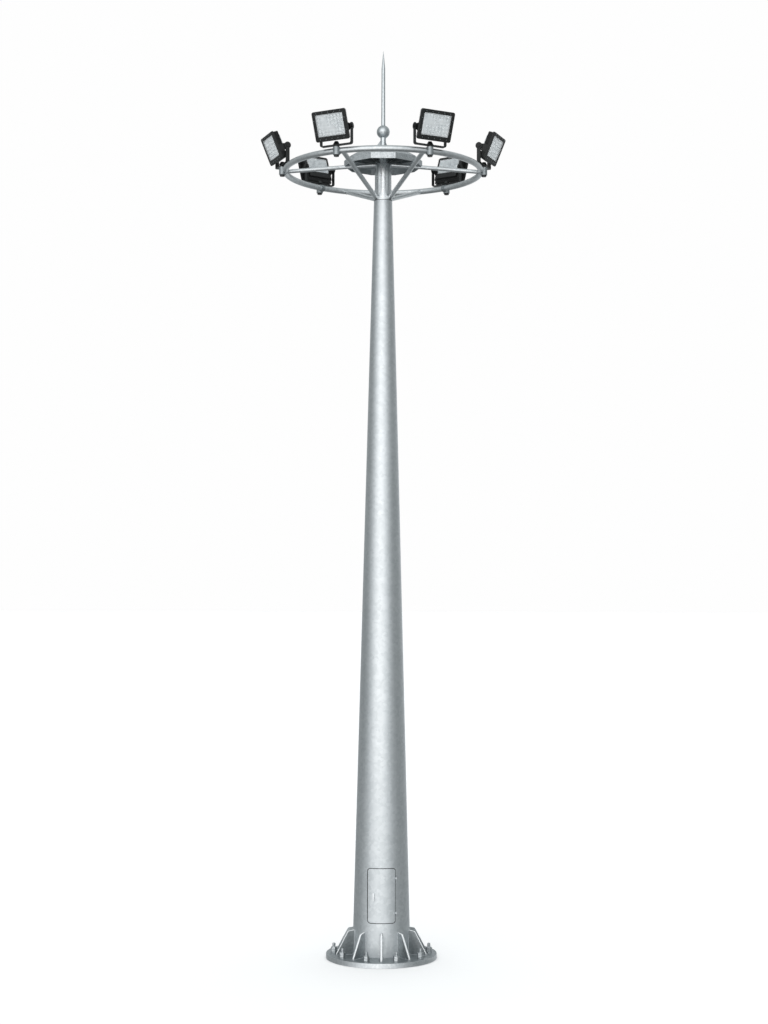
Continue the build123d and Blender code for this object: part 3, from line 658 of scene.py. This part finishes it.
washer_radius = 0.052
first_azimuth = -72
end_drop = 0.002
bolts = run_tree(
    holding_down_bolt_tree(), "holding_down_bolts", bpy.data.meshes.new("bolt_start"), bolt_zinc,
    count=10, circle_radius=bolt_high.x - washer_radius, washer_radius=washer_radius,
    washer_thickness=0.009, nut_radius=0.0485, nut_height=0.038, bolt_radius=0.024,
    bolt_height=bolt_high.z - plate_top - end_drop, thread_pitch=0.006,
)
bolts.transform(Matrix.Translation((0, 0, plate_top)) @ Matrix.Rotation(radians(first_azimuth), 4, "Z"))
anchor = linked("holding_down_bolts", smoothed(bolts, angle=30), "mast", [bolt_zinc])
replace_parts(anchor, "anchor_bolts")

eased("lamp_clamps", [dull_zinc_and_painted_shade, bar_black], "mast", edge=0.002, choose=is_blacked)

# ---------------------------------------------------------------- welds
weld_bead = weld_bead_tree()
sharp_turn = 25.0


def seam(node_name, keep):
    """The sharp edges of a CAD node that a rule keeps, by themselves: where the piece is welded on."""
    form = bmesh.new()
    form.from_mesh(frame["nodes"][node_name].data)
    bmesh.ops.remove_doubles(form, verts=form.verts, dist=same_point)
    kept = [
        edge for edge in form.edges
        if len(edge.link_faces) == 2 and edge.calc_face_angle(0.0) > radians(sharp_turn)
        and all(keep(corner.co) for corner in edge.verts)
    ]
    corners = dict.fromkeys(corner for edge in kept for corner in edge.verts)
    order = {corner: at for at, corner in enumerate(corners)}
    places = [corner.co.copy() for corner in corners]
    lines = bpy.data.meshes.new(node_name + "_seams")
    lines.from_pydata(places, [[order[corner] for corner in edge.verts] for edge in kept], [])
    form.free()
    return lines


def on_plate(at):
    """Whether a place lies on the top of the base plate."""
    return at.z < plate_top + near


def on_gusset_weld(at):
    """Whether a place on a gusset lies on the plate or against the mast."""
    return on_plate(at) or off_axis(at) < mast_radius(at.z) + 3 * near


def on_mast_foot(at):
    """Whether a place on the mast lies on the outer edge of its foot."""
    return on_plate(at) and off_axis(at) > foot_radius - 2 * near


def on_cap_bore(at):
    """Whether a place on the cap lies on the upper edge of its bore, round the head tube."""
    return off_axis(at) < tube_radius + 2 * near and at.z > cap_low.z + 2 * near


def on_stem_foot(at):
    """Whether a place on the stem lies at its foot, on the hood."""
    return at.z < stem_foot + near


def on_any_edge(at):
    """All the sharp edges of a coped tube are welded."""
    return True


weld_rules = {
    "base_gussets": (0.008, on_gusset_weld),
    "shaft_foot": (0.009, on_mast_foot),
    "shaft_cap": (0.004, on_cap_bore),
    "rod_stem": (0.005, on_stem_foot),
    "ring_struts": (0.005, on_any_edge),
    "ring_spokes": (0.005, on_any_edge),
}
for name, (bead, keep) in weld_rules.items():
    line = seam(name, keep)
    welds = run_tree(weld_bead, name + "_welds", line, weld_zinc, bead_radius=bead, ripple=2 * bead)
    linked(name + "_welds", smoothed(welds, angle=60), "mast", [weld_zinc])

# ---------------------------------------------------------------- seals, also painted shade at the door's gap and the cap's rim
door_gap = 0.006
door_corner = 0.04
seal_clearance = 0.0002
seal_depth = 0.0075
lip_reach = 0.0045
lip_rise = 0.0012
lip_round = 0.0008
corner_steps = 8
seal_step = 0.02
sealant_inset = 0.006
sealant_rise = 0.002


def gap_line():
    """The middle of the gap round the door, as places (x, z) a seal step apart, anticlockwise from +X."""
    half_x = -door_low.x + door_gap / 2
    half_z = (door_high.z - door_low.z + door_gap) / 2
    centre = (door_low.z + door_high.z) / 2
    radius = door_corner + door_gap / 2
    turns = []
    for quarter, (side_x, side_z) in enumerate(((1, 1), (-1, 1), (-1, -1), (1, -1))):
        middle = Vector((side_x * (half_x - radius), centre + side_z * (half_z - radius)))
        for step in range(corner_steps + 1):
            angle = pi / 2 * (quarter + step / corner_steps)
            turns.append(middle + radius * Vector((cos(angle), sin(angle))))
    places = []
    for place, after in zip(turns, turns[1:] + turns[:1]):
        steps = max(1, round((after - place).length / seal_step))
        places += [place.lerp(after, step / steps) for step in range(steps)]
    return places


def door_seal():
    """The rubber strip round the door. It fills the gap, and its lip covers the opening's cut edge on the
    mast, but for the side where the hinges are welded on. Its black and its lip's width also draw the
    shade in the gap round the door: painted shade."""
    strip = bmesh.new()
    half = door_gap / 2 - seal_clearance
    hinge_side = -door_low.x + door_gap / 4
    places = gap_line()
    rings = []
    for at, place in enumerate(places):
        along = (places[(at + 1) % len(places)] - places[at - 1]).normalized()
        out = Vector((along.y, -along.x))
        lip, top = (0.0, -seal_clearance) if place.x > hinge_side else (lip_reach, lip_rise)
        ring = []
        for offset, depth in (
            (-half, -seal_clearance), (-half + lip_round, top), (half + lip - lip_round, top),
            (half + lip, -2 * seal_clearance), (half, -3 * seal_clearance), (half, -seal_depth),
            (-half, -seal_depth),
        ):
            x, z = place + out * offset
            ring.append(strip.verts.new((x, -sqrt((mast_radius(z) + depth) ** 2 - x ** 2), z)))
        rings.append(ring)
    for ring, after in zip(rings, rings[1:] + rings[:1]):
        for at in range(len(ring)):
            beside = (at + 1) % len(ring)
            strip.faces.new((ring[at], ring[beside], after[beside], after[at]))
    bmesh.ops.recalc_face_normals(strip, faces=strip.faces)
    mesh = smoothed(mesh_of("door_seal", strip))
    return linked("door_seal", mesh, "mast", [seal_and_shade_rubber])


def cap_sealant():
    """The bead of black sealant round the rim of the mast's cap, partly a real sealant and partly painted
    shade: it draws the dark line at the cap's rim.
    """
    circle = bmesh.new()
    bmesh.ops.create_circle(circle, segments=72, radius=cap_high.x - sealant_inset)
    bmesh.ops.translate(circle, vec=(0, 0, cap_high.z + sealant_rise), verts=circle.verts)
    line = mesh_of("cap_sealant_line", circle)
    mesh = run_tree(weld_bead, "cap_sealant", line, seal_and_shade_rubber, bead_radius=0.007, ripple=0.04)
    return linked("cap_sealant", smoothed(mesh, angle=60), "mast", [seal_and_shade_rubber])


# the door's seal is partly a real seal and partly painted shade in the gap round the door
door_seal()
# the cap's black bead also draws the shade line at the cap's rim: painted shade
cap_sealant()

# ---------------------------------------------------------------- lamps
optic_grid = optic_grid_tree()
cooling_ribs = cooling_rib_tree()
button_heads = button_tree()

# in each lamp's own frame, from the middle of its glass: z is a level over it, and under it where negative
board_thickness = 0.002
board_edge = 0.0006
board_level = -0.024
optic_level = -0.023
optics_width_share = 0.85
optics_height_share = 0.81
first_rib = (0, -0.2, -0.068)
screw_level = 0.0073
screw_pitch = 0.1
screw_rows = (-0.192, 0.182)
screw_column = 0.254
side_screw_heights = (-0.09, 0.08)


def light_board(number, place, width, height):
    """The light sources' board behind the optics: as large as the glass, with its edges just broken."""
    form = bmesh.new()
    board_size = Matrix.Diagonal((width, height, board_thickness, 1.0))
    bmesh.ops.create_cube(form, size=1.0, matrix=board_size)
    bmesh.ops.bevel(form, geom=form.edges, offset=board_edge, segments=1, affect="EDGES")
    behind_glass = place @ Matrix.Translation((0, 0, board_level))
    bmesh.ops.transform(form, matrix=behind_glass, verts=form.verts)
    mesh = mesh_of(f"light_board_{number}", form)
    linked(f"light_board_{number}", mesh, f"lamp_{number}", [board])


def optics(number, place, width, height):
    """The rows of optics in front of the board."""
    mesh = run_tree(
        optic_grid, f"optics_{number}", bpy.data.meshes.new("optic_start"), optic,
        columns=8, rows=6, width=width * optics_width_share, height=height * optics_height_share,
        optic_radius=0.0225, optic_rise=0.009,
    )
    mesh.transform(place @ Matrix.Translation((0, 0, optic_level)))
    linked(f"optics_{number}", smoothed(mesh), f"lamp_{number}", [optic])


def housing_ribs(number, place):
    """The ribs up both sides of the housing."""
    mesh = run_tree(
        cooling_ribs, f"cooling_ribs_{number}", bpy.data.meshes.new("rib_start"), cast_black,
        count=24, pitch=0.0165, half_width=0.2345, reach=0.0075, blade=0.005, length=0.078,
    )
    mesh.transform(place @ Matrix.Translation(first_rib))
    linked(f"cooling_ribs_{number}", mesh, f"lamp_{number}", [cast_black])


def bezel_screws(number, place):
    """The screws round the front of the housing, which hold the glass."""
    places = [(screw_pitch * step, row, 0.0) for row in screw_rows for step in (-2, -1, 0, 1, 2)]
    places += [(side * screw_column, height, 0.0) for side in (-1, 1) for height in side_screw_heights]
    screws = bpy.data.meshes.new("screw_places")
    screws.from_pydata(places, [], [])
    mesh = run_tree(
        button_heads, f"bezel_screws_{number}", screws, dull_zinc_and_painted_shade, head_radius=0.0065, head_rise=0.004,
    )
    mesh.transform(place @ Matrix.Translation((0, 0, screw_level)))
    linked(f"bezel_screws_{number}", mesh, f"lamp_{number}", [dull_zinc_and_painted_shade])


for number in lamp_numbers:
    body = f"lamp_{number}"
    eased(f"lamp_yoke_{number}", [bar_black], f"yoke_{number}", edge=0.002)
    eased(f"lamp_housing_{number}", [cast_black], body, edge=0.002)
    eased(f"lamp_heatsink_{number}", [bare_fins], body, edge=0.0008)
    finished(frame["nodes"][f"lamp_lens_{number}"].data, [cover_glass])
    place = lamp_place(number)
    glass_low, glass_high = extent(f"lamp_lens_{number}", place)
    width = glass_high.x - glass_low.x
    height = glass_high.y - glass_low.y
    light_board(number, place, width, height)
    optics(number, place, width, height)
    housing_ribs(number, place)
    bezel_screws(number, place)

# ---------------------------------------------------------------- floor, light and camera
floor_radius = 400.0
source_azimuth = -12.0
level_strength = 1.55
zenith_gain = 0.8

disc = bmesh.new()
bmesh.ops.create_circle(disc, cap_ends=True, segments=96, radius=floor_radius)
floor_mesh = mesh_of("studio_floor", disc)
floor = bpy.data.objects.new("studio_floor", floor_mesh)
bpy.context.scene.collection.objects.link(floor)
floor_paint, _, floor_shader = blank_finish("matt_white_paint", Roughness=0.9)
floor_shader.inputs["Base Color"].default_value = linear("#e3e3e3")
floor_mesh.materials.append(floor_paint)
floor.visible_glossy = False

world = bpy.data.worlds.new("soft_studio")
bpy.context.scene.world = world
world.use_nodes = True
sky = world.node_tree
sky.nodes.clear()
direction = node(sky, "ShaderNodeTexCoord").outputs["Generated"]
source_way = spot(1.0, source_azimuth)
facing = node(sky, "ShaderNodeVectorMath", {0: direction, 1: source_way}, operation="DOT_PRODUCT")
away = node(sky, "ShaderNodeMath", {0: facing.outputs["Value"]}, operation="ARCCOSINE").outputs[0]
share = node(sky, "ShaderNodeMath", {0: away, 1: pi}, operation="DIVIDE").outputs[0]
around = node(sky, "ShaderNodeValToRGB", {"Fac": share}, [
    (0.0, "#ffffff"), (0.08, "#fbfcfc"), (0.17, "#dfe2e3"), (0.25, "#b9bdbf"), (0.34, "#949899"),
    (0.43, "#7b7f80"), (0.52, "#747879"), (0.62, "#7d8182"), (0.77, "#868a8b"), (0.88, "#a6aaac"),
    (1.0, "#c6cacc"),
])
climb = node(sky, "ShaderNodeSeparateXYZ", {0: direction}).outputs["Z"]
strength = node(sky, "ShaderNodeMath", {
    0: climb, 1: zenith_gain, 2: level_strength,
}, operation="MULTIPLY_ADD")
lit = node(sky, "ShaderNodeBackground", {
    "Color": around.outputs["Color"], "Strength": strength.outputs[0],
})
seen = node(sky, "ShaderNodeBackground", {"Color": linear("#fefefe"), "Strength": 1.0})
chosen = node(sky, "ShaderNodeMixShader", {
    0: node(sky, "ShaderNodeLightPath").outputs["Is Camera Ray"], 1: lit.outputs[0], 2: seen.outputs[0],
})
node(sky, "ShaderNodeOutputWorld", {"Surface": chosen.outputs[0]})

diffuser = bpy.data.lights.new("overhead_diffuser", "SUN")
diffuser.energy = 2.6
diffuser.angle = radians(80)
overhead = bpy.data.objects.new("overhead_diffuser", diffuser)
bpy.context.scene.collection.objects.link(overhead)
overhead.location = (0.0, 0.0, 20.0)
overhead.rotation_euler = (radians(-15), 0.0, 0.0)
overhead.visible_glossy = False

eye_height = 5.642
eye_distance = 27.6
focal_length = 63.4921875
# the camera is level, so its view is shifted up and sideways instead, by these shares of its height
rise_shift = 0.07421875
side_shift = 0.0017578125
roll = 0.13
camera = bpy.data.objects.new("camera", bpy.data.cameras.new("camera"))
bpy.context.scene.collection.objects.link(camera)
camera.data.lens = focal_length
camera.data.shift_x = side_shift
camera.data.shift_y = rise_shift
camera.data.clip_end = 1000.0
camera.location = (0.0, -eye_distance, eye_height)
camera.rotation_euler = (radians(90), radians(-roll), 0.0)
bpy.context.scene.camera = camera
bpy.context.scene.view_settings.view_transform = "Standard"
